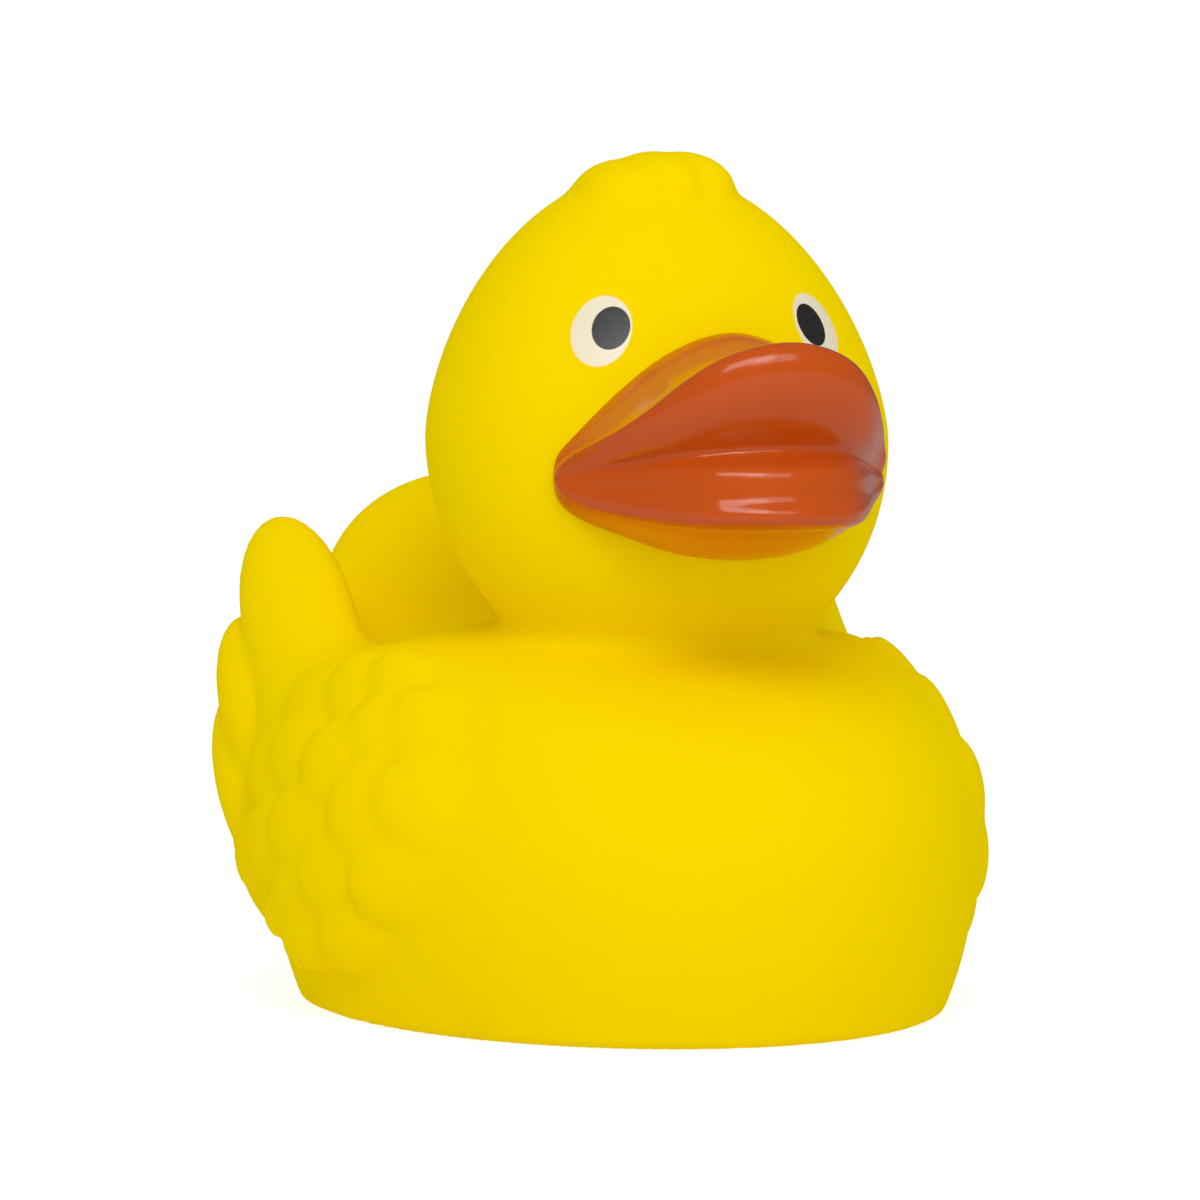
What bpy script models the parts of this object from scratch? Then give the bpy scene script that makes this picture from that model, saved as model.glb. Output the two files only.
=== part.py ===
"""A rubber duck: one hollow vinyl moulding, with a squeaker pressed into its base.

Metres, +Z up. The duck faces -Y, and X = 0 is its plane of symmetry. The origin is at the
bottom centre of its bounding box, on the surface it stands on. The shape is written in
millimetres, with `forward` measured from the middle of the base towards the beak.
"""

from math import cos, pi, radians, sin, sqrt

import bmesh
import bpy
from mathutils import Vector

MM = 0.001

# Resolution
GRAIN = 0.9 * MM              # cell size of the moulding's volume grid
HOLLOW_GRAIN = 2.0 * MM
MOULDING_TRIANGLES = 7600
HOLLOW_TRIANGLES = 900

# Body and head: egg shapes, each with its own reach to the front, back, top and bottom
BODY_FORWARD = -1.2
BODY_HEIGHT = 15.0
BODY_SIDE = 32.1
BODY_FRONT = 40.5
BODY_BACK = 37.0
BODY_UP = 28.0
BODY_DOWN = 36.0
BACK_HEIGHT = 36.2            # the back and shoulders are crowned off at this height
BACK_DROP = 0.0045            # how fast that crown falls away, per mm of distance squared
HEAD_FORWARD = 8.6
HEAD_HEIGHT = 53.2
HEAD_SIDE = 21.3
HEAD_FRONT = 20.8
HEAD_BACK = 22.0
HEAD_UP = 25.5
HEAD_TAPER = 0.785           # below 1 the crown narrows faster than a plain ellipse
HEAD_LEAN = 0.06              # how far the head leans back, per mm of height
HEAD_DOWN = 22.5
NECK_FILLET = 5.0
BASE_ROUNDING = 0.8

# Wings: a slab cut from a larger egg, with flight feathers behind and rows of scales on it
WING_FORWARD = -5.0
WING_HEIGHT = 16.0
WING_SIDE = 33.9
WING_LENGTH = 42.0
WING_UP = 25.6
WING_DOWN = 36.0
WING_THICKNESS = 7.0
WING_MIDDLE = (3.0, 20.0)     # forward and height of the wing's outline
WING_REACH = (19.5, 14.5)     # its half length and half height
FEATHERS = (                  # root and tip of each flight feather (side, forward, height)
    ((26.0, -11.0, 25.0), (26.6, -25.0, 44.6), 5.6, 3.2),
    ((28.4, -9.0, 17.0), (29.4, -25.8, 35.2), 5.0, 3.4),
    ((29.6, -9.0, 11.0), (29.8, -25.8, 28.5), 4.8, 3.4),
    ((28.8, -8.0, 5.5), (29.0, -23.5, 20.0), 4.4, 3.4),
)                             # and its half width and half thickness
FEATHER_FLARE = radians(38)   # how far the back edge of each feather turns outward
SCALE_ROWS = (                # forward reach of each row, and the heights of its scales
    (19.0, (33.4, 28.2, 21.6, 14.8, 9.2)),
    (13.2, (31.0, 25.4, 18.6, 12.0, 7.0)),
    (6.2, (28.8, 22.4, 15.8, 10.0)),
    (-0.6, (25.2, 18.8, 12.6)),
    (-6.6, (21.8, 15.4)),
)
SCALE_BOW = 0.065             # how the rows curve back above and below the wing's middle
SCALE_SIZE = (5.2, 3.9, 2.2)  # half length, half width and half thickness
SCALE_TILT = radians(9)
SCALE_RELIEF = 0.75

# Tail and tuft
TAIL_MIDDLE = (-31.5, 33.0)
TAIL_SIZE = (18.8, 7.5, 18.6)
TAIL_LEAN = radians(35)
TUFT_STRANDS = (              # middle (side, forward, height), half sizes and turn of each strand
    ((-3.2, 10.2, 76.0), (3.0, 6.6, 2.9), radians(24)),
    ((0.0, 9.8, 76.8), (3.0, 7.4, 2.8), 0.0),
    ((3.2, 10.8, 76.0), (3.0, 6.8, 2.9), radians(-24)),
)

# Beak: lines along its length, each run from the middle of the front to the corner of the mouth
BEAK_CORNER = (17.2, 24.4, 50.4)
BEAK_SIDE = (0.0, 0.32, 0.48, 0.605, 0.72, 0.82, 1.0)
BEAK_REACH = (1.0, 0.93, 0.83, 0.68, 0.47, 0.26, 0.0)
CREST_RISE = (1.0, 0.90, 0.74, 0.54, 0.36, 0.21, 0.0)
ROOT_RISE = (1.0, 0.86, 0.73, 0.61, 0.48, 0.36, 0.0)
BEAK_LINES = (                # forward and height at the middle, rise law, and inset at the corner
    (23.0, 62.2, "root", 3.0),
    (27.5, 64.2, "root", 1.2),
    (33.0, 60.8, "root", 0.6),
    (38.5, 60.9, "crest", 0.4),
    (41.6, 63.5, "crest", 0.2),
    (43.4, 62.0, "crest", 0.0),
    (42.8, 57.2, "crest", 0.0),
    (40.8, 53.4, "crest", 0.0),
    (37.6, 52.0, "reach", 0.6),
    (41.0, 51.4, "reach", 0.2),
    (42.8, 49.1, "reach", 0.0),
    (42.4, 46.2, "reach", 0.0),
    (38.6, 45.7, "reach", 0.3),
    (35.0, 43.4, "reach", 0.6),
    (28.5, 41.8, "reach", 1.0),
    (23.0, 44.5, "reach", 3.0),
)

# Hollow and squeaker
WALL = 2.4
FLOOR = 3.0
BORE_RADIUS = 7.3
RECESS_RADIUS = 9.0
RECESS_DEPTH = 1.6
CLEARANCE = 0.3


# ---------------------------------------------------------------- solid fields
class Field:
    """A number or a vector known at every point of space, held by a node's output."""

    tree = None

    def __init__(self, socket):
        self.socket = socket

    @classmethod
    def node(cls, kind, *values, **settings):
        """Adds a node, applies its settings, and fills its sockets in order."""
        made = cls.tree.nodes.new(kind)
        for name, value in settings.items():
            setattr(made, name, value)
        for socket, value in zip(made.inputs, values):
            if isinstance(value, Field):
                cls.tree.links.new(value.socket, socket)
            elif value is not None:
                socket.default_value = value
        return made

    def math(self, operation, *others):
        return Field(Field.node("ShaderNodeMath", self, *others, operation=operation).outputs[0])

    def vector(self, operation, *others):
        made = Field.node("ShaderNodeVectorMath", self, *others, operation=operation)
        return Field(made.outputs["Value" if operation in ("LENGTH", "DOT_PRODUCT") else "Vector"])

    def __add__(self, other):
        return self.math("ADD", other)

    def __sub__(self, other):
        return self.math("SUBTRACT", other)

    def __mul__(self, other):
        return self.math("MULTIPLY", other)

    def __truediv__(self, other):
        return self.math("DIVIDE", other)

    def __neg__(self):
        return self.math("MULTIPLY", -1.0)


def combine(across, along, above):
    made = Field.node("ShaderNodeCombineXYZ", across, along, above)
    return Field(made.outputs[0])


def split(vector):
    return [Field(socket) for socket in Field.node("ShaderNodeSeparateXYZ", vector).outputs]


def joined(first, second, fillet):
    """The union of two solids, with a fillet of about that size where they meet."""
    return Field(Field.node("ShaderNodeMath", first, second, fillet, operation="SMOOTH_MIN").outputs[0])


def common(first, second, rounding):
    """What two solids share, with the new edge rounded."""
    return Field(Field.node("ShaderNodeMath", first, second, rounding, operation="SMOOTH_MAX").outputs[0])


def outside(unit, slope):
    """Distance outside the surface where `unit` has length 1, by its gradient."""
    reach = unit.vector("LENGTH")
    return reach * (reach - 1.0) / slope.vector("LENGTH")


def ellipsoid(point, centre, sizes, axes):
    """Distance outside an ellipsoid with half sizes along three square axes."""
    local = point.vector("SUBTRACT", tuple(centre))
    unit = combine(*(local.vector("DOT_PRODUCT", tuple(axis / size)) for axis, size in zip(axes, sizes)))
    return outside(unit, unit.vector("DIVIDE", tuple(sizes)))


def egg(point, forward, height, side, front, back, up, down, taper=1.0):
    """Distance outside an egg with its own reach to the front, back, top and bottom."""
    across, along, above = split(point.vector("SUBTRACT", (0.0, -forward, height)))
    ahead = (-along).math("MAXIMUM", 0.0)
    behind = along.math("MAXIMUM", 0.0)
    over = above.math("MAXIMUM", 0.0)
    under = (-above).math("MAXIMUM", 0.0)
    rise = (over / up).math("POWER", taper)
    unit = combine(across / side, ahead / front + behind / back, rise + under / down)
    slope = combine(
        across / side**2,
        ahead / front**2 + behind / back**2,
        over / up**2 + under / down**2,
    )
    return outside(unit, slope)


# ---------------------------------------------------------------- the duck's forms
def trunk(point, wall=0.0):
    """Body, neck and head, taken in by the wall's thickness."""
    body = egg(point, BODY_FORWARD, BODY_HEIGHT, BODY_SIDE, BODY_FRONT, BODY_BACK, BODY_UP, BODY_DOWN)
    across, along, above = split(point)
    spread = across * across + along * along
    crown = above + spread * BACK_DROP - BACK_HEIGHT
    body = common(body, crown, 6.0)
    leaning = combine(across, along - (above - HEAD_HEIGHT) * HEAD_LEAN, above)
    head = egg(
        leaning, HEAD_FORWARD, HEAD_HEIGHT, HEAD_SIDE, HEAD_FRONT, HEAD_BACK, HEAD_UP, HEAD_DOWN, HEAD_TAPER
    )
    return joined(body + wall, head + wall, NECK_FILLET)


def flank(forward, height):
    """A point on the wing's outer face, with the directions outward, back and up there."""
    reach = WING_UP if height > WING_HEIGHT else WING_DOWN
    along = (forward - WING_FORWARD) / WING_LENGTH
    rise = (height - WING_HEIGHT) / reach
    side = WING_SIDE * sqrt(1.0 - along**2 - rise**2)
    outward = Vector((side / WING_SIDE**2, -along / WING_LENGTH, rise / reach)).normalized()
    lift = radians(2.5) * (height - WING_MIDDLE[1])
    back = Vector((0.0, cos(lift), sin(lift)))
    back = (back - outward * back.dot(outward)).normalized()
    return Vector((side, -forward, height)), outward, back, outward.cross(back)


def wing(point):
    """One wing, on the side where `point` is positive."""
    shell = egg(
        point, WING_FORWARD, WING_HEIGHT, WING_SIDE, WING_LENGTH, WING_LENGTH, WING_UP, WING_DOWN
    )
    across, along, above = split(point)
    outline = combine(
        0.0, (along + WING_MIDDLE[0]) / WING_REACH[0], (above - WING_MIDDLE[1]) / WING_REACH[1]
    )
    edge = (outline.vector("LENGTH") - 1.0) * WING_REACH[1]
    slab = common(common(shell, edge, 2.0), -shell - WING_THICKNESS, 1.5)
    for root, tip, width, thickness in FEATHERS:
        root = Vector((root[0], -root[1], root[2]))
        tip = Vector((tip[0], -tip[1], tip[2]))
        lengthwise = (tip - root).normalized()
        level = lengthwise.cross(Vector((1, 0, 0))).normalized()
        outward = level.cross(lengthwise)
        crosswise = level * cos(FEATHER_FLARE) + outward * sin(FEATHER_FLARE)
        outward = outward * cos(FEATHER_FLARE) - level * sin(FEATHER_FLARE)
        sizes = ((tip - root).length / 2, width, thickness)
        feather = ellipsoid(point, (root + tip) / 2, sizes, (lengthwise, crosswise, outward))
        slab = joined(slab, feather, 1.0)
    for reach, heights in reversed(SCALE_ROWS):
        for height in heights:
            forward = reach - SCALE_BOW * (height - WING_MIDDLE[1]) ** 2
            middle, outward, back, up = flank(forward, height)
            raised = back * cos(SCALE_TILT) + outward * sin(SCALE_TILT)
            face = outward * cos(SCALE_TILT) - back * sin(SCALE_TILT)
            centre = middle - outward * (SCALE_SIZE[2] - SCALE_RELIEF)
            scale = ellipsoid(point, centre, SCALE_SIZE, (raised, up, face))
            slab = joined(slab, scale, 0.3)
    return slab


def tail(point):
    forward, height = TAIL_MIDDLE
    up = Vector((0.0, sin(TAIL_LEAN), cos(TAIL_LEAN)))
    back = Vector((0.0, cos(TAIL_LEAN), -sin(TAIL_LEAN)))
    axes = (Vector((1, 0, 0)), back, up)
    return ellipsoid(point, (0.0, -forward, height), TAIL_SIZE, axes)


def tuft(point):
    made = None
    for (side, forward, height), sizes, turn in TUFT_STRANDS:
        across = Vector((cos(turn), sin(turn), 0.0))
        along = Vector((-sin(turn), cos(turn), 0.0))
        strand = ellipsoid(point, (side, -forward, height), sizes, (across, along, Vector((0, 0, 1))))
        made = strand if made is None else joined(made, strand, 0.4)
    return made


def moulding(point):
    """The whole yellow form, down to its flat base."""
    across, along, above = split(point)
    mirrored = combine(across.math("ABSOLUTE"), along, above)
    form = joined(trunk(point), tail(point), 6.0)
    form = joined(form, wing(mirrored), 1.2)
    form = joined(form, tuft(point), 0.8)
    return common(form, -above, BASE_ROUNDING)


def hollow(point):
    """The air inside, above the floor."""
    across, along, above = split(point)
    return common(trunk(point, WALL), -above + FLOOR, 1.0)


# ---------------------------------------------------------------- meshes
def link(name, mesh, collection):
    made = bpy.data.objects.new(name, mesh)
    collection.objects.link(made)
    return made


def settled(thing):
    """Applies an object's modifiers to its mesh."""
    graph = bpy.context.evaluated_depsgraph_get()
    mesh = bpy.data.meshes.new_from_object(thing.evaluated_get(graph), depsgraph=graph)
    thing.modifiers.clear()
    thing.data = mesh
    return thing


def solid(name, shape, low, high, grain, triangles, collection):
    """Meshes a field inside a box given in millimetres, and thins it to a number of triangles."""
    tree = bpy.data.node_groups.new(name, "GeometryNodeTree")
    tree.interface.new_socket("Geometry", in_out="OUTPUT", socket_type="NodeSocketGeometry")
    Field.tree = tree
    place = Field(Field.node("GeometryNodeInputPosition").outputs[0])
    point = place.vector("MULTIPLY", (1 / MM, 1 / MM, 1 / MM))
    counts = [int((b - a) * MM / grain) + 1 for a, b in zip(low, high)]
    volume = Field.node("GeometryNodeVolumeCube", -shape(point), -1.0)
    volume.inputs["Min"].default_value = [a * MM for a in low]
    volume.inputs["Max"].default_value = [b * MM for b in high]
    for axis, count in zip("XYZ", counts):
        volume.inputs["Resolution " + axis].default_value = count
    skin = Field.node("GeometryNodeVolumeToMesh", Field(volume.outputs[0]), resolution_mode="GRID")
    skin.inputs["Threshold"].default_value = 0.0
    output = Field.node("NodeGroupOutput", Field(skin.outputs[0]))
    output.is_active_output = True
    made = link(name, bpy.data.meshes.new(name), collection)
    made.modifiers.new("Field", "NODES").node_group = tree
    settled(made)
    faces = sum(len(face.vertices) - 2 for face in made.data.polygons)
    made.modifiers.new("Thin", "DECIMATE").ratio = min(1.0, triangles / faces)
    return settled(made)


def beak(collection):
    """The beak as a smooth closed skin through its lines."""
    corner = Vector((BEAK_CORNER[0], -BEAK_CORNER[1], BEAK_CORNER[2])) * MM
    shape = bmesh.new()
    rings = []
    for side, reach, crest, root in zip(BEAK_SIDE[:-1], BEAK_REACH, CREST_RISE, ROOT_RISE):
        rise = {"crest": crest, "root": root, "reach": reach}
        ring = []
        for forward, height, law, inset in BEAK_LINES:
            start = BEAK_CORNER[1] - inset
            ring.append(shape.verts.new((
                side * (BEAK_CORNER[0] - inset * 0.6) * MM,
                -(start + (forward - start) * reach) * MM,
                (BEAK_CORNER[2] + (height - BEAK_CORNER[2]) * rise[law]) * MM,
            )))
        rings.append(ring)
    for near, far in zip(rings, rings[1:]):
        for a, b, c, d in zip(near, near[1:] + near[:1], far[1:] + far[:1], far):
            shape.faces.new((a, b, c, d))
    last = rings[-1]
    tip = []
    for vertex in last:
        tip.append(shape.verts.new(corner.lerp(vertex.co, 0.25)))
    for a, b, c, d in zip(last, last[1:] + last[:1], tip[1:] + tip[:1], tip):
        shape.faces.new((a, b, c, d))
    shape.faces.new(tip)
    bmesh.ops.recalc_face_normals(shape, faces=shape.faces)
    mesh = bpy.data.meshes.new("beak")
    shape.to_mesh(mesh)
    shape.free()
    made = link("beak", mesh, collection)
    mirror = made.modifiers.new("Mirror", "MIRROR")
    mirror.use_axis = (True, False, False)
    mirror.merge_threshold = 0.0001
    smooth = made.modifiers.new("Smooth", "SUBSURF")
    smooth.levels = 1
    smooth.render_levels = 1
    return settled(made)


def lathe(name, profile, collection, steps=48):
    """A solid of revolution about Z, from radii and heights in mm that run round its section."""
    shape = bmesh.new()
    section = [shape.verts.new((radius * MM, 0.0, height * MM)) for radius, height in profile]
    sides = [shape.edges.new(pair) for pair in zip(section, section[1:] + section[:1])]
    bmesh.ops.spin(
        shape, geom=section + sides, axis=(0, 0, 1), angle=2 * pi, steps=steps, use_merge=True
    )
    bmesh.ops.remove_doubles(shape, verts=shape.verts, dist=0.001 * MM)
    bmesh.ops.recalc_face_normals(shape, faces=shape.faces)
    mesh = bpy.data.meshes.new(name)
    shape.to_mesh(mesh)
    shape.free()
    return link(name, mesh, collection)


def material(name, colour, roughness):
    made = bpy.data.materials.new(name)
    made.use_nodes = True
    shader = made.node_tree.nodes["Principled BSDF"]
    shader.inputs["Base Color"].default_value = (*colour, 1.0)
    shader.inputs["Roughness"].default_value = roughness
    made.diffuse_color = (*colour, 1.0)
    return made


# ---------------------------------------------------------------- scene
for thing in list(bpy.data.objects):
    bpy.data.objects.remove(thing, do_unlink=True)

duck = bpy.data.collections.new("rubber_duck")
cutters = bpy.data.collections.new("cutters")
bpy.context.scene.collection.children.link(duck)
bpy.context.scene.collection.children.link(cutters)

body = solid(
    "duck_body", moulding, (-38, -40, -3), (38, 50, 83), GRAIN, MOULDING_TRIANGLES, duck
)
for vertex in body.data.vertices:
    if abs(vertex.co.z) < 0.02 * MM:
        vertex.co.z = 0.0

bill = beak(cutters)
void = solid("hollow", hollow, (-34, -38, 0), (34, 40, 80), HOLLOW_GRAIN, HOLLOW_TRIANGLES, cutters)
bore = lathe(
    "bore",
    (
        (0.0, -2.0),
        (RECESS_RADIUS, -2.0),
        (RECESS_RADIUS, RECESS_DEPTH),
        (BORE_RADIUS, RECESS_DEPTH),
        (BORE_RADIUS, FLOOR + 2.0),
        (0.0, FLOOR + 2.0),
    ),
    cutters,
)
squeaker = lathe(
    "squeaker",
    (
        (1.0, RECESS_DEPTH - CLEARANCE - 1.0),
        (RECESS_RADIUS - CLEARANCE, RECESS_DEPTH - CLEARANCE - 1.0),
        (RECESS_RADIUS - CLEARANCE, RECESS_DEPTH - CLEARANCE),
        (BORE_RADIUS - CLEARANCE, RECESS_DEPTH - CLEARANCE),
        (BORE_RADIUS - CLEARANCE, FLOOR + CLEARANCE),
        (BORE_RADIUS + 0.5, FLOOR + CLEARANCE),
        (BORE_RADIUS + 0.5, FLOOR + CLEARANCE + 0.6),
        (BORE_RADIUS - 1.2, FLOOR + CLEARANCE + 2.0),
        (1.0, FLOOR + CLEARANCE + 2.0),
    ),
    duck,
)
for tool, operation in ((bill, "UNION"), (void, "DIFFERENCE"), (bore, "DIFFERENCE")):
    cut = body.modifiers.new(tool.name, "BOOLEAN")
    cut.operation = operation
    cut.object = tool
    cut.solver = "EXACT"
settled(body)

shift = -(min(v.co.y for v in body.data.vertices) + max(v.co.y for v in body.data.vertices)) / 2
for piece in (body, squeaker):
    for vertex in piece.data.vertices:
        vertex.co.y += shift
    for face in piece.data.polygons:
        face.use_smooth = False

body.data.materials.clear()
body.data.materials.append(material("yellow_vinyl", (0.93, 0.67, 0.01), 0.55))
squeaker.data.materials.append(material("white_plastic", (0.85, 0.85, 0.83), 0.4))
for tool in cutters.objects:
    tool.hide_render = True
    tool.display_type = "WIRE"
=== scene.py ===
"""A rubber duck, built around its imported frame: a soft yellow vinyl moulding with a glossy
painted beak and painted eyes, and the squeaker pressed into its base.

The duck faces -Y. Its forms are written in millimetres from the middle of its flat base, with
`forward` measured towards the beak.
"""

from math import cos, pi, radians, sin, sqrt

import bmesh
import bpy
from mathutils import Matrix, Vector


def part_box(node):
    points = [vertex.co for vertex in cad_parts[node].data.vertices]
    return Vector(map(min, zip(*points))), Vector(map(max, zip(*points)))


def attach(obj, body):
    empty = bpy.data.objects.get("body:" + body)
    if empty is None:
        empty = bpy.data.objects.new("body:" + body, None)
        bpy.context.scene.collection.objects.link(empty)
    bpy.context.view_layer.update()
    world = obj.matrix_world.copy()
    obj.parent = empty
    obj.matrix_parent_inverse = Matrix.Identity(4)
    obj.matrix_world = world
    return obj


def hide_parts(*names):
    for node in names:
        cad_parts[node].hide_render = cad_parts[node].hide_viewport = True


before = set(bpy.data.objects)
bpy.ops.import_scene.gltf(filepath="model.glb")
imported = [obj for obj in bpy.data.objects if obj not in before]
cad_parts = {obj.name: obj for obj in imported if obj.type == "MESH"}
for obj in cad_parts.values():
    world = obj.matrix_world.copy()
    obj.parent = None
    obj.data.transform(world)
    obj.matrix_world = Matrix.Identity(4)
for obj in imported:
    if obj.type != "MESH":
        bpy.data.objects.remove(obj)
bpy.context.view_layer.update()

MM = 0.001
TO_MM = (1 / MM, 1 / MM, 1 / MM)

# The base stands centred on the squeaker
squeaker_low, squeaker_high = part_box("squeaker")
BASE = Vector((0.0, (squeaker_low[1] + squeaker_high[1]) / 2, 0.0))

# Cell size of the moulding's skin and of the air space inside it, and the boxes that hold them
GRAIN = 0.61 * MM
HOLLOW_GRAIN = 1.6 * MM
MOULDING_BOX = ((-38, -47, -2), (38, 47, 82))
HOLLOW_BOX = ((-34, -40, 0), (34, 40, 80))

# Body and head: egg shapes, each with its own reach to the front, back, top and bottom
BODY_FORWARD = -1.2
BODY_HEIGHT = 15.0
BODY_SIDE = 32.1
BODY_FRONT = 40.5
BODY_BACK = 38.3
BODY_UP = 28.0
BODY_DOWN = 36.0
BACK_HEIGHT = 36.2            # the back and shoulders are crowned off at this height
BACK_DROP = 0.0045            # how fast that crown falls away, per mm of distance squared
BACK_ROUNDING = 6.0
HEAD_FORWARD = 8.6
HEAD_HEIGHT = 53.2
HEAD_SIDE = 21.4
HEAD_FRONT = 20.8
HEAD_BACK = 22.0
HEAD_UP = 24.7
HEAD_TAPER = 0.80             # below 1 the crown narrows faster than a plain ellipse
HEAD_LEAN = 0.06              # how far the head leans back, per mm of height
HEAD_DOWN = 22.5
NECK_FILLET = 5.0
TAIL_FILLET = 6.0
WING_FILLET = 1.2
BASE_ROUNDING = 0.8

# Wings: a slab cut from a larger egg, with flight feathers behind and rows of scales on it
WING_FORWARD = -5.0
WING_HEIGHT = 16.0
WING_SIDE = 33.9
WING_LENGTH = 42.0
WING_UP = 25.6
WING_DOWN = 36.0
WING_THICKNESS = 7.0
WING_MIDDLE = (3.0, 20.0)     # forward and height of the wing's outline
WING_REACH = (19.5, 14.5)     # its half length and half height
WING_RIM = 2.0                # rounding of the slab's outer rim and of its inner one
WING_INNER_RIM = 1.5
WING_LIFT = radians(2.5)      # how much the scales turn upward, per mm above the wing's middle
FEATHERS = (                  # root and tip of each flight feather (side, forward, height)
    ((26.0, -8.6, 25.6), (26.6, -25.0, 44.6), 6.0, 3.2, 9.0),
    ((28.4, -9.0, 17.0), (29.4, -25.8, 35.2), 5.0, 3.4, 0.5),
    ((29.6, -9.0, 11.0), (29.8, -25.8, 28.5), 4.8, 3.4, 0.5),
    ((28.6, -8.0, 6.5), (28.8, -23.2, 20.4), 4.4, 3.4, 0.5),
)                             # with its half width, half thickness and the fillet round it
FEATHER_FLARE = radians(38)   # how far the back edge of each feather turns outward
SCALES = (                    # forward, height and half width of each, from the front row back
    ((9.4, 30.6, 3.7), (16.6, 27.0, 4.3), (19.6, 21.0, 4.8), (17.6, 14.6, 4.7), (12.0, 9.6, 4.0)),
    ((3.6, 30.2, 4.2), (12.4, 26.4, 4.6), (14.4, 20.0, 5.2), (10.4, 14.4, 5.2), (4.8, 9.0, 4.0)),
    ((-3.3, 28.6, 4.3), (8.0, 23.6, 5.0), (4.5, 18.0, 4.7), (4.6, 12.4, 4.4), (1.6, 10.8, 3.2)),
    ((0.1, 24.4, 4.4), (-1.6, 16.2, 4.7)),
    ((-5.2, 22.9, 4.7), (-6.2, 14.8, 4.4)),
)
SCALE_LENGTH = 6.6            # half length and half thickness
SCALE_THICKNESS = 1.6
SCALE_TILT = radians(8.5)
SCALE_RELIEF = 0.8            # how far a scale's middle stands above the wing
SCALE_CREASE = 0.25

# Tail and tuft
TAIL_MIDDLE = (-31.5, 33.0)   # forward and height
TAIL_SIZE = (18.8, 7.5, 18.6)
TAIL_LEAN = radians(35)
TUFT_STRANDS = (              # middle (side, forward, height), half sizes and turn of each strand
    ((-3.0, 7.4, 75.4), (4.6, 7.6, 3.5), radians(-14)),
    ((-0.6, 8.8, 75.9), (4.2, 7.6, 3.7), radians(2)),
    ((1.8, 9.0, 75.8), (4.2, 6.9, 3.8), radians(14)),
)
TUFT_CREASE = 0.4             # where the strands meet each other, and where they meet the head
TUFT_FILLET = 1.6

# Beak: lines along its length, each run from the middle of the front to the corner of the mouth
BEAK_CORNER = (16.9, 22.8, 49.8)
BEAK_TURN = radians(2.0)      # how far the face is turned to one side, about the head's middle
BEAK_SIDE = (0.0, 0.32, 0.48, 0.61, 0.73, 0.84, 0.95)
BEAK_LAWS = {                 # how far each kind of line still stands out at those sides
    "root": (1.0, 0.86, 0.73, 0.60, 0.46, 0.31, 0.14),
    "crest": (1.0, 0.90, 0.75, 0.56, 0.38, 0.25, 0.12),
    "rim": (1.0, 0.93, 0.84, 0.70, 0.52, 0.31, 0.12),
    "face": (1.0, 0.93, 0.83, 0.67, 0.44, 0.21, 0.12),
    "mouth": (1.0, 0.94, 0.83, 0.66, 0.44, 0.27, 0.13),
    "pout": (1.0, 0.92, 0.78, 0.59, 0.39, 0.22, 0.11),
    "lip": (1.0, 0.98, 0.94, 0.83, 0.69, 0.50, 0.22),
    "jaw": (1.0, 0.92, 0.80, 0.68, 0.57, 0.45, 0.20),
}
BEAK_LINES = (                # forward and height at the middle, their laws, inset at the corner, paint
    (22.0, 62.2, "rim", "root", 3.0, 0.8),
    (28.4, 64.5, "rim", "root", 0.8, 0.8),
    (31.6, 61.7, "rim", "root", 0.5, 0.0),
    (37.8, 60.5, "rim", "crest", 0.4, 0.1),
    (41.3, 63.2, "rim", "crest", 0.2, 1.0),
    (43.3, 62.2, "rim", "crest", 0.0, 1.0),
    (43.6, 59.0, "face", "crest", 0.0, 1.0),
    (41.5, 55.6, "face", "crest", 0.0, 1.0),
    (38.2, 52.9, "mouth", "rim", 0.2, 1.0),
    (40.7, 52.0, "pout", "rim", 0.0, 1.0),
    (42.1, 51.3, "pout", "rim", 0.0, 1.0),
    (42.3, 50.0, "pout", "lip", 0.0, 1.0),
    (42.3, 48.5, "pout", "lip", 0.0, 1.0),
    (43.3, 47.5, "pout", "lip", 0.0, 1.0),
    (43.0, 46.3, "pout", "lip", 0.1, 1.0),
    (40.8, 45.6, "pout", "lip", 0.2, 0.9),
    (38.2, 46.0, "rim", "lip", 0.4, 0.5),
    (34.5, 43.6, "rim", "jaw", 0.6, 0.1),
    (28.5, 41.9, "rim", "jaw", 1.0, 0.8),
    (22.0, 44.5, "rim", "jaw", 3.0, 1.0),
)

# Eyes: middle of each white and each pupil, and how far the top of the eye leans outward
EYES = (
    ((-11.9, 23.3, 63.6), (-11.1, 23.8, 63.85), 0.0),
    ((9.9, 24.5, 63.9), (9.3, 24.9, 64.2), radians(12)),
)
WHITE_SIZE = (2.8, 3.5)       # half width and half height
PUPIL_SIZE = (1.75, 2.15)
EYE_SIDE = 21.3               # the head's half width at the eyes
EYE_RISE = 0.35 / 21.0        # how much its surface faces upward there
EYE_DEPTH = (-6.0, -5.0)      # the paint fades out between these depths in the head
EYE_BLUR = 0.025              # softness of its edge, as a share of the oval's size

# Hollow and squeaker
HOLLOW_ROUNDING = 1.0
WALL = 2.4
FLOOR = 3.0
BORE_RADIUS = 7.3
RECESS_RADIUS = 9.0
RECESS_DEPTH = 1.6
CLEARANCE = 0.3
FLANGE = 1.0                  # thickness of the squeaker's visible disc
AIR_HOLE = 1.0
BARB = 0.5                    # how far its inner end grips past the bore
BARB_HEIGHT = 0.6
BARB_TAPER = 1.2
BARB_LENGTH = 2.0


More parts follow.
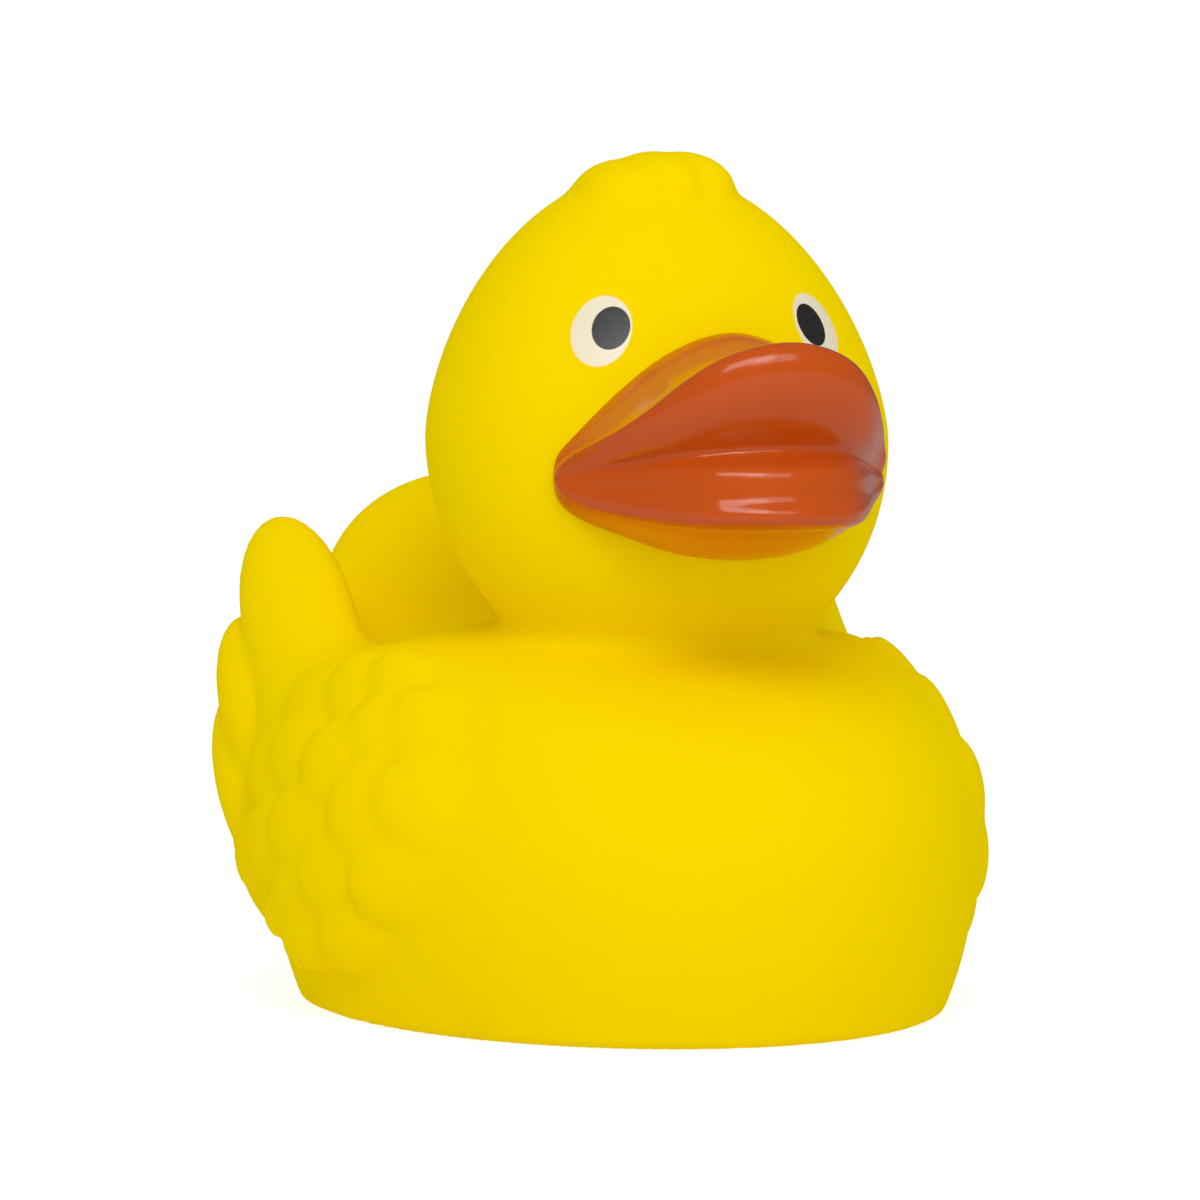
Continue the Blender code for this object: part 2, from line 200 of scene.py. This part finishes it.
# ---------------------------------------------------------------- nodes written as expressions
class Wire:
    """One output of a node. Python's operators on it add nodes to the same tree."""

    def __init__(self, net, socket):
        self.net = net
        self.socket = socket

    def math(self, operation, *others):
        return self.net.node("ShaderNodeMath", {"operation": operation}, dict(enumerate((self, *others))))

    def vector(self, operation, *others):
        name = "Value" if operation in ("LENGTH", "DOT_PRODUCT") else "Vector"
        sockets = dict(enumerate((self, *others)))
        return self.net.node("ShaderNodeVectorMath", {"operation": operation}, sockets, name)

    def split(self):
        return [self.net.node("ShaderNodeSeparateXYZ", {}, {0: self}, axis) for axis in "XYZ"]

    def __add__(self, other):
        return self.math("ADD", other)

    def __sub__(self, other):
        return self.math("SUBTRACT", other)

    def __rsub__(self, other):
        return self.net.node("ShaderNodeMath", {"operation": "SUBTRACT"}, {0: other, 1: self})

    def __mul__(self, other):
        return self.math("MULTIPLY", other)

    def __truediv__(self, other):
        return self.math("DIVIDE", other)

    def __rtruediv__(self, other):
        return self.net.node("ShaderNodeMath", {"operation": "DIVIDE"}, {0: other, 1: self})

    def __neg__(self):
        return self.math("MULTIPLY", -1.0)

    __radd__ = __add__
    __rmul__ = __mul__


class Net:
    """A node tree that hands out wires."""

    def __init__(self, tree):
        self.tree = tree

    def node(self, kind, settings, sockets, output=0):
        """Adds a node: its settings are set first, then the values or links of its sockets."""
        made = self.tree.nodes.new(kind)
        stops = settings.pop("stops", None)
        for name, value in settings.items():
            setattr(made, name, value)
        if stops:
            ramp = made.color_ramp.elements
            while len(ramp) < len(stops):
                ramp.new(0.5)
            for element, (position, colour) in zip(ramp, stops):
                element.position = position
                element.color = colour
        for key, value in sockets.items():
            if isinstance(value, Wire):
                self.tree.links.new(value.socket, made.inputs[key])
            else:
                made.inputs[key].default_value = value
        return Wire(self, made.outputs[output]) if made.outputs else made

    def combine(self, across, along, above):
        return self.node("ShaderNodeCombineXYZ", {}, {0: across, 1: along, 2: above})


# ---------------------------------------------------------------- solid fields
def joined(first, second, fillet):
    """The union of two solids, with a fillet of about that size where they meet."""
    return first.math("SMOOTH_MIN", second, fillet)


def common(first, second, rounding):
    """What two solids share, with the new edge rounded."""
    return first.math("SMOOTH_MAX", second, rounding)


def outside(unit, slope):
    """Distance outside the surface where `unit` has length 1, by its gradient."""
    reach = unit.vector("LENGTH")
    return reach * (reach - 1.0) / slope.vector("LENGTH")


def ellipsoid(point, centre, sizes, axes):
    """Distance outside an ellipsoid with half sizes along three square axes."""
    local = point.vector("SUBTRACT", tuple(centre))
    steps = [local.vector("DOT_PRODUCT", tuple(axis / size)) for axis, size in zip(axes, sizes)]
    unit = point.net.combine(*steps)
    return outside(unit, unit.vector("DIVIDE", tuple(sizes)))


def egg(point, forward, height, side, front, back, up, down, taper=1.0):
    """Distance outside an egg with its own reach to the front, back, top and bottom."""
    across, along, above = point.vector("SUBTRACT", (0.0, -forward, height)).split()
    ahead = (-along).math("MAXIMUM", 0.0)
    behind = along.math("MAXIMUM", 0.0)
    over = above.math("MAXIMUM", 0.0)
    under = (-above).math("MAXIMUM", 0.0)
    rise = (over / up).math("POWER", taper)
    combine = point.net.combine
    unit = combine(across / side, ahead / front + behind / back, rise + under / down)
    slope = combine(
        across / side**2,
        ahead / front**2 + behind / back**2,
        over / up**2 + under / down**2,
    )
    return outside(unit, slope)


# ---------------------------------------------------------------- the duck's forms
def trunk(point, fillet, wall=0.0):
    """Body, neck and head, taken in by the wall's thickness."""
    reaches = (BODY_SIDE, BODY_FRONT, BODY_BACK, BODY_UP, BODY_DOWN)
    body = egg(point, BODY_FORWARD, BODY_HEIGHT, *reaches)
    across, along, above = point.split()
    spread = across * across + along * along
    crown = above + spread * BACK_DROP - BACK_HEIGHT
    body = common(body, crown, BACK_ROUNDING)
    leaning = point.net.combine(across, along - (above - HEAD_HEIGHT) * HEAD_LEAN, above)
    reaches = (HEAD_SIDE, HEAD_FRONT, HEAD_BACK, HEAD_UP, HEAD_DOWN)
    head = egg(leaning, HEAD_FORWARD, HEAD_HEIGHT, *reaches, HEAD_TAPER)
    return joined(body + wall, head + wall, fillet)


def flank(forward, height):
    """A point on the wing's outer face, with the directions outward, back and up there."""
    reach = WING_UP if height > WING_HEIGHT else WING_DOWN
    along = (forward - WING_FORWARD) / WING_LENGTH
    rise = (height - WING_HEIGHT) / reach
    side = WING_SIDE * sqrt(1.0 - along**2 - rise**2)
    outward = Vector((side / WING_SIDE**2, -along / WING_LENGTH, rise / reach)).normalized()
    lift = WING_LIFT * (height - WING_MIDDLE[1])
    back = Vector((0.0, cos(lift), sin(lift)))
    back = (back - outward * back.dot(outward)).normalized()
    return Vector((side, -forward, height)), outward, back, outward.cross(back)


def wing(point):
    """One wing, on the side where `point` is positive."""
    reaches = (WING_SIDE, WING_LENGTH, WING_LENGTH, WING_UP, WING_DOWN)
    shell = egg(point, WING_FORWARD, WING_HEIGHT, *reaches)
    across, along, above = point.split()
    outline = point.net.combine(
        0.0, (along + WING_MIDDLE[0]) / WING_REACH[0], (above - WING_MIDDLE[1]) / WING_REACH[1]
    )
    edge = (outline.vector("LENGTH") - 1.0) * WING_REACH[1]
    slab = common(common(shell, edge, WING_RIM), -shell - WING_THICKNESS, WING_INNER_RIM)
    for root, tip, width, thickness, fillet in FEATHERS:
        root = Vector((root[0], -root[1], root[2]))
        tip = Vector((tip[0], -tip[1], tip[2]))
        lengthwise = (tip - root).normalized()
        level = lengthwise.cross(Vector((1, 0, 0))).normalized()
        outward = level.cross(lengthwise)
        crosswise = level * cos(FEATHER_FLARE) + outward * sin(FEATHER_FLARE)
        outward = outward * cos(FEATHER_FLARE) - level * sin(FEATHER_FLARE)
        sizes = ((tip - root).length / 2, width, thickness)
        feather = ellipsoid(point, (root + tip) / 2, sizes, (lengthwise, crosswise, outward))
        slab = joined(slab, feather, fillet)
    for row in reversed(SCALES):
        for forward, height, width in row:
            middle, outward, back, up = flank(forward, height)
            raised = back * cos(SCALE_TILT) + outward * sin(SCALE_TILT)
            face = outward * cos(SCALE_TILT) - back * sin(SCALE_TILT)
            centre = middle - outward * (SCALE_THICKNESS - SCALE_RELIEF)
            half = (SCALE_LENGTH, width, SCALE_THICKNESS)
            slab = joined(slab, ellipsoid(point, centre, half, (raised, up, face)), SCALE_CREASE)
    return slab


def tail(point):
    """The tail's broad fan, leaning back."""
    forward, height = TAIL_MIDDLE
    up = Vector((0.0, sin(TAIL_LEAN), cos(TAIL_LEAN)))
    back = Vector((0.0, cos(TAIL_LEAN), -sin(TAIL_LEAN)))
    axes = (Vector((1, 0, 0)), back, up)
    return ellipsoid(point, (0.0, -forward, height), TAIL_SIZE, axes)


def tuft(point):
    """The forelock's strands, fanned out towards the front."""
    made = None
    for (side, forward, height), sizes, turn in TUFT_STRANDS:
        across = Vector((cos(turn), sin(turn), 0.0))
        along = Vector((-sin(turn), cos(turn), 0.0))
        strand = ellipsoid(point, (side, -forward, height), sizes, (across, along, Vector((0, 0, 1))))
        made = strand if made is None else joined(made, strand, TUFT_CREASE)
    return made


def moulding(point, sizes):
    """The whole yellow form, down to its flat base."""
    across, along, above = point.split()
    mirrored = point.net.combine(across.math("ABSOLUTE"), along, above)
    form = joined(trunk(point, sizes["Neck fillet"]), tail(point), sizes["Tail fillet"])
    form = joined(form, wing(mirrored), sizes["Wing fillet"])
    form = joined(form, tuft(point), TUFT_FILLET)
    return common(form, -above, sizes["Base rounding"])


def hollow(point, sizes):
    """The air inside, above the floor."""
    across, along, above = point.split()
    return common(trunk(point, sizes["Neck fillet"], sizes["Wall"]), -above + FLOOR, HOLLOW_ROUNDING)


# ---------------------------------------------------------------- meshes
def link(name, mesh):
    made = bpy.data.objects.new(name, mesh)
    bpy.context.scene.collection.objects.link(made)
    return made


def settled(thing):
    """Applies an object's modifiers to its mesh."""
    graph = bpy.context.evaluated_depsgraph_get()
    mesh = bpy.data.meshes.new_from_object(thing.evaluated_get(graph), depsgraph=graph)
    thing.modifiers.clear()
    thing.data = mesh
    return thing


def solid(name, shape, low, high, grain, sizes, finish):
    """Meshes a field inside a box given in millimetres from the middle of the base."""
    tree = bpy.data.node_groups.new(name, "GeometryNodeTree")
    tree.interface.new_socket("Geometry", in_out="OUTPUT", socket_type="NodeSocketGeometry")
    values = {"Grain": grain, **sizes}
    inputs = {}
    for label in values:
        inputs[label] = tree.interface.new_socket(label, in_out="INPUT", socket_type="NodeSocketFloat")
    inputs["Finish"] = tree.interface.new_socket("Finish", in_out="INPUT", socket_type="NodeSocketMaterial")
    values["Finish"] = finish
    net = Net(tree)
    given = tree.nodes.new("NodeGroupInput")
    wires = {label: Wire(net, given.outputs[label]) for label in values}
    place = net.node("GeometryNodeInputPosition", {}, {})
    point = place.vector("SUBTRACT", tuple(BASE)).vector("MULTIPLY", TO_MM)
    box = {"Density": -shape(point, wires), "Background": -1.0}
    for label, corner in (("Min", low), ("Max", high)):
        box[label] = BASE + Vector(corner) * MM
    for axis, a, b in zip("XYZ", low, high):
        box["Resolution " + axis] = (b - a) * MM / wires["Grain"]
    volume = net.node("GeometryNodeVolumeCube", {}, box)
    skin = net.node(
        "GeometryNodeVolumeToMesh", {"resolution_mode": "GRID"}, {"Volume": volume, "Threshold": 0.0}
    )
    whole = net.node("GeometryNodeRealizeInstances", {}, {"Geometry": skin})
    dressed = net.node("GeometryNodeSetMaterial", {}, {"Geometry": whole, "Material": wires["Finish"]})
    net.node("NodeGroupOutput", {"is_active_output": True}, {"Geometry": dressed})
    made = link(name, bpy.data.meshes.new(name))
    modifier = made.modifiers.new("Form", "NODES")
    modifier.node_group = tree
    for label, value in values.items():
        modifier[inputs[label].identifier] = value
    return settled(made)


def beak():
    """The beak as a smooth closed skin through its lines. Its UV map holds the paint's thickness."""
    shape = bmesh.new()
    paint = shape.loops.layers.uv.new("paint")
    thickness = {}
    rings = []
    for station, side in enumerate(BEAK_SIDE):
        ring = []
        for forward, height, reach, rise, inset, coat in BEAK_LINES:
            start = BEAK_CORNER[1] - inset
            vertex = shape.verts.new((
                side * (BEAK_CORNER[0] - inset * 0.6),
                -(start + (forward - start) * BEAK_LAWS[reach][station]),
                BEAK_CORNER[2] + (height - BEAK_CORNER[2]) * BEAK_LAWS[rise][station],
            ))
            thickness[vertex] = coat + (1.0 - coat) * side**6
            ring.append(vertex)
        rings.append(ring)
    for near, far in zip(rings, rings[1:]):
        for a, b, c, d in zip(near, near[1:] + near[:1], far[1:] + far[:1], far):
            shape.faces.new((a, b, c, d))
    shape.faces.new(rings[-1])
    bmesh.ops.recalc_face_normals(shape, faces=shape.faces)
    for face in shape.faces:
        for loop in face.loops:
            loop[paint].uv = (thickness[loop.vert], abs(loop.vert.co.x) / BEAK_CORNER[0])
    mesh = bpy.data.meshes.new("beak")
    shape.to_mesh(mesh)
    shape.free()
    made = link("beak", mesh)
    mirror = made.modifiers.new("Mirror", "MIRROR")
    mirror.use_axis = (True, False, False)
    mirror.merge_threshold = 0.0001
    smooth = made.modifiers.new("Smooth", "SUBSURF")
    smooth.levels = 3
    smooth.render_levels = 3
    settled(made)
    head = Matrix.Translation((0.0, -HEAD_FORWARD, 0.0))
    turned = head @ Matrix.Rotation(-BEAK_TURN, 4, "Z") @ head.inverted()
    made.data.transform(Matrix.Translation(BASE) @ Matrix.Scale(MM, 4) @ turned)
    return made


def lathe(name, profile, steps=96):
    """A solid of revolution about the base's middle, from radii and heights round its section."""
    shape = bmesh.new()
    section = [shape.verts.new((radius, 0.0, height)) for radius, height in profile]
    sides = [shape.edges.new(pair) for pair in zip(section, section[1:] + section[:1])]
    bmesh.ops.spin(
        shape, geom=section + sides, axis=(0, 0, 1), angle=2 * pi, steps=steps, use_merge=True
    )
    bmesh.ops.remove_doubles(shape, verts=shape.verts, dist=0.001)
    bmesh.ops.recalc_face_normals(shape, faces=shape.faces)
    bmesh.ops.transform(shape, matrix=Matrix.Translation(BASE) @ Matrix.Scale(MM, 4), verts=shape.verts)
    mesh = bpy.data.meshes.new(name)
    shape.to_mesh(mesh)
    shape.free()
    return link(name, mesh)


# ---------------------------------------------------------------- finishes
def srgb(red, green, blue):
    """A colour as painters mix it on screen, turned into light."""
    parts = [c / 12.92 if c <= 0.04045 else ((c + 0.055) / 1.055) ** 2.4 for c in (red, green, blue)]
    return (*parts, 1.0)


def finish(name):
    """An empty material, its net and its main shader."""
    made = bpy.data.materials.new(name)
    made.use_nodes = True
    net = Net(made.node_tree)
    return made, net, made.node_tree.nodes["Principled BSDF"]


def blend(net, factor, first, second):
    """One colour turning into another."""
    sockets = {"Factor": factor, 6: first, 7: second}
    return net.node("ShaderNodeMix", {"data_type": "RGBA"}, sockets, 2)


def noise(net, point, scale, detail=2.0):
    return net.node("ShaderNodeTexNoise", {}, {"Vector": point, "Scale": scale, "Detail": detail}, "Fac")


def band(value, low, high):
    """0 below `low`, 1 above `high`, and smooth between."""
    return value.net.node(
        "ShaderNodeMapRange",
        {"interpolation_type": "SMOOTHSTEP"},
        {"Value": value, "From Min": low, "From Max": high},
    )


def drive(shader, name, wire):
    wire.net.tree.links.new(wire.socket, shader.inputs[name])


def eye_spot(point, centre, size, lean):
    """1 inside an upright oval painted on the head, falling to 0 across its edge."""
    side, forward, height = centre
    ahead = (forward - HEAD_FORWARD) / HEAD_FRONT**2
    outward = Vector((side / EYE_SIDE**2, -ahead, EYE_RISE)).normalized()
    level = Vector((0, 0, 1)).cross(outward).normalized()
    upright = outward.cross(level)
    along = level * cos(lean) - upright * sin(lean)
    up = upright * cos(lean) + level * sin(lean)
    local = point.vector("SUBTRACT", (side, -forward, height))
    unit = point.net.combine(
        local.vector("DOT_PRODUCT", tuple(along / size[0])),
        local.vector("DOT_PRODUCT", tuple(up / size[1])),
        0.0,
    )
    inside = 1.0 - band(unit.vector("LENGTH"), 1.0 - EYE_BLUR, 1.0 + EYE_BLUR)
    return inside * band(local.vector("DOT_PRODUCT", tuple(outward)), *EYE_DEPTH)


def yellow_vinyl():
    made, net, shader = finish("yellow_vinyl")
    coordinates = net.node("ShaderNodeTexCoord", {}, {}, "Object")
    point = coordinates.vector("SUBTRACT", tuple(BASE)).vector("MULTIPLY", TO_MM)
    cloud = noise(net, point, 0.08)
    vinyl = blend(net, cloud, srgb(0.98, 0.845, 0.0), srgb(0.99, 0.86, 0.0))
    whites = pupils = None
    for white, pupil, lean in EYES:
        white = eye_spot(point, white, WHITE_SIZE, lean)
        pupil = eye_spot(point, pupil, PUPIL_SIZE, lean)
        whites = white if whites is None else whites.math("MAXIMUM", white)
        pupils = pupil if pupils is None else pupils.math("MAXIMUM", pupil)
    # Pupils: black paint, lightened by grey speckles that are a painted reflection of the lamps rather than
    # a colour of the paint
    sheen_speckle = noise(net, point, 3.2, 3.0)
    pupil_black_and_sheen = blend(net, band(sheen_speckle, 0.35, 0.7), srgb(0.02, 0.015, 0.015), srgb(0.14, 0.135, 0.135))
    colour = blend(net, whites, vinyl, srgb(0.955, 0.915, 0.79))
    colour = blend(net, pupils, colour, pupil_black_and_sheen)
    drive(shader, "Base Color", colour)
    painted = whites.math("MAXIMUM", pupils)
    drive(shader, "Coat Weight", painted)
    shader.inputs["Coat Roughness"].default_value = 0.42
    shader.inputs["Coat IOR"].default_value = 1.8
    shader.inputs["Roughness"].default_value = 0.6
    fine = noise(net, point, 2.4, 3.0) * (1.0 + 2.0 * painted + 7.0 * pupils)
    bump = net.node("ShaderNodeBump", {}, {"Strength": 0.12, "Distance": 0.05 * MM, "Height": fine})
    drive(shader, "Normal", bump)
    shader.inputs["Specular IOR Level"].default_value = 0.0
    shader.inputs["Subsurface Weight"].default_value = 0.25
    shader.inputs["Subsurface Radius"].default_value = (1.0, 0.55, 0.1)
    shader.inputs["Subsurface Scale"].default_value = 1.6 * MM
    return made


def orange_paint():
    made, net, shader = finish("orange_paint")
    coat = net.node("ShaderNodeUVMap", {"uv_map": "paint"}, {}).split()[0]
    coordinates = net.node("ShaderNodeTexCoord", {}, {}, "Object")
    point = coordinates.vector("MULTIPLY", TO_MM)
    drift = noise(net, point, 0.25, 3.0)
    thick = band(coat + (drift - 0.5) * 0.2, 0.1, 0.8)
    colour = blend(net, thick, srgb(0.86, 0.50, 0.02), srgb(0.785, 0.315, 0.055))
    drive(shader, "Base Color", colour)
    peel = noise(net, point, 0.9, 2.0)
    bump = net.node("ShaderNodeBump", {}, {"Strength": 0.08, "Distance": 0.2 * MM, "Height": peel})
    drive(shader, "Normal", bump)
    drive(shader, "Roughness", 0.13 + 0.06 * drift)
    shader.inputs["Specular IOR Level"].default_value = 0.5
    return made


def white_plastic():
    made, net, shader = finish("white_plastic")
    coordinates = net.node("ShaderNodeTexCoord", {}, {}, "Object")
    grain = noise(net, coordinates, 2400.0, 2.0)
    drive(shader, "Base Color", blend(net, grain, srgb(0.90, 0.90, 0.88), srgb(0.94, 0.94, 0.92)))
    drive(shader, "Roughness", 0.35 + 0.1 * grain)
    return made


# ---------------------------------------------------------------- the pieces
vinyl = yellow_vinyl()
paint = orange_paint()

body = solid(
    "moulded_duck",
    moulding,
    *MOULDING_BOX,
    GRAIN,
    {
        "Neck fillet": NECK_FILLET,
        "Tail fillet": TAIL_FILLET,
        "Wing fillet": WING_FILLET,
        "Base rounding": BASE_ROUNDING,
    },
    vinyl,
)
void = solid(
    "hollow",
    hollow,
    *HOLLOW_BOX,
    HOLLOW_GRAIN,
    {"Neck fillet": NECK_FILLET, "Wall": WALL},
    vinyl,
)
bill = beak()
for face in bill.data.polygons:
    face.material_index = 1
OVERCUT = 2.0                 # how far the cutter runs past the floor, below and above
bore = lathe(
    "bore",
    (
        (0.0, -OVERCUT),
        (RECESS_RADIUS, -OVERCUT),
        (RECESS_RADIUS, RECESS_DEPTH),
        (BORE_RADIUS, RECESS_DEPTH),
        (BORE_RADIUS, FLOOR + OVERCUT),
        (0.0, FLOOR + OVERCUT),
    ),
)
body.data.materials.clear()
body.data.materials.append(vinyl)
body.data.materials.append(paint)
for tool, operation in ((bill, "UNION"), (void, "DIFFERENCE"), (bore, "DIFFERENCE")):
    cut = body.modifiers.new(tool.name, "BOOLEAN")
    cut.operation = operation
    cut.object = tool
    cut.solver = "EXACT"
settled(body)
for tool in (bill, void, bore):
    bpy.data.objects.remove(tool, do_unlink=True)
for face in body.data.polygons:
    face.use_smooth = True
body.data.set_sharp_from_angle(angle=radians(50))

disc_top = RECESS_DEPTH - CLEARANCE
barb_low = FLOOR + CLEARANCE
squeaker = lathe(
    "squeaker_disc",
    (
        (AIR_HOLE, disc_top - FLANGE),
        (RECESS_RADIUS - CLEARANCE, disc_top - FLANGE),
        (RECESS_RADIUS - CLEARANCE, disc_top),
        (BORE_RADIUS - CLEARANCE, disc_top),
        (BORE_RADIUS - CLEARANCE, barb_low),
        (BORE_RADIUS + BARB, barb_low),
        (BORE_RADIUS + BARB, barb_low + BARB_HEIGHT),
        (BORE_RADIUS - BARB_TAPER, barb_low + BARB_LENGTH),
        (AIR_HOLE, barb_low + BARB_LENGTH),
    ),
)
squeaker.data.materials.append(white_plastic())

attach(body, "root")
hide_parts("duck_body")
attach(squeaker, "root")
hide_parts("squeaker")

# ---------------------------------------------------------------- floor, lights and camera
FLOOR_SIZE = 6.0
FLOOR_GAP = 0.05 * MM         # keeps the floor from meeting the base face to face
floor = link("floor", bpy.data.meshes.new("floor"))
shape = bmesh.new()
bmesh.ops.create_grid(shape, x_segments=1, y_segments=1, size=FLOOR_SIZE)
bmesh.ops.translate(shape, vec=(0.0, 0.0, -FLOOR_GAP), verts=shape.verts)
shape.to_mesh(floor.data)
shape.free()
paper, net, shader = finish("white_paper")
shader.inputs["Base Color"].default_value = (0.5, 0.5, 0.5, 1.0)
shader.inputs["Roughness"].default_value = 0.9
shader.inputs["Specular IOR Level"].default_value = 0.0
shader.inputs["Emission Color"].default_value = (1.0, 1.0, 1.0, 1.0)
seen = net.node("ShaderNodeLightPath", {}, {}, "Is Camera Ray")
mirrored = net.node("ShaderNodeLightPath", {}, {}, "Is Glossy Ray")
drive(shader, "Emission Strength", 0.4 + 0.36 * seen - 0.4 * mirrored)
floor.data.materials.append(paper)

world = bpy.data.worlds.new("studio")
world.use_nodes = True
sky = Net(world.node_tree)
seen = sky.node("ShaderNodeLightPath", {}, {}, "Is Camera Ray")
back = world.node_tree.nodes["Background"]
back.inputs["Color"].default_value = (1.0, 1.0, 1.0, 1.0)
mirrored = sky.node("ShaderNodeLightPath", {}, {}, "Is Glossy Ray")
world.node_tree.links.new((0.53 + 0.49 * seen - 0.41 * mirrored).socket, back.inputs["Strength"])
bpy.context.scene.world = world
LIT_POINT = Vector((0.0, 0.0, 0.04))


def soft_light(name, azimuth, elevation, distance, size, power):
    """A rectangular panel that looks at the duck's middle."""
    made = bpy.data.objects.new(name, bpy.data.lights.new(name, "AREA"))
    made.data.shape = "RECTANGLE"
    made.data.size, made.data.size_y = size
    made.data.energy = power
    turn, lift = radians(azimuth), radians(elevation)
    away = Vector((sin(turn) * cos(lift), -cos(turn) * cos(lift), sin(lift)))
    made.location = away * distance + LIT_POINT
    made.rotation_euler = away.to_track_quat("Z", "Y").to_euler()
    bpy.context.scene.collection.objects.link(made)
    return made


soft_light("key", -30.0, 42.0, 0.8, (0.6, 0.3), 2.0)
soft_light("front", 0.0, 35.0, 1.0, (0.7, 0.4), 1.6).data.specular_factor = 0.0

VIEW_AZIMUTH = radians(-22.0)
VIEW_ELEVATION = radians(3.2)
VIEW_DISTANCE = 0.5
VIEW_HEIGHT = 37.75 * MM      # the point looked at, above the base and to one side of its middle
VIEW_SHIFT = 2.1 * MM
ahead = Vector((
    -sin(VIEW_AZIMUTH) * cos(VIEW_ELEVATION),
    cos(VIEW_AZIMUTH) * cos(VIEW_ELEVATION),
    -sin(VIEW_ELEVATION),
))
rightward = ahead.cross(Vector((0, 0, 1))).normalized()
target = BASE + Vector((0.0, 0.0, VIEW_HEIGHT)) - rightward * VIEW_SHIFT
camera = bpy.data.objects.new("camera", bpy.data.cameras.new("camera"))
camera.data.sensor_width = 36.0
camera.data.lens = 159.5
camera.data.clip_start = 0.01
camera.location = target - ahead * VIEW_DISTANCE
camera.rotation_euler = ahead.to_track_quat("-Z", "Y").to_euler()
bpy.context.scene.collection.objects.link(camera)
bpy.context.scene.camera = camera
bpy.context.scene.view_settings.view_transform = "Standard"
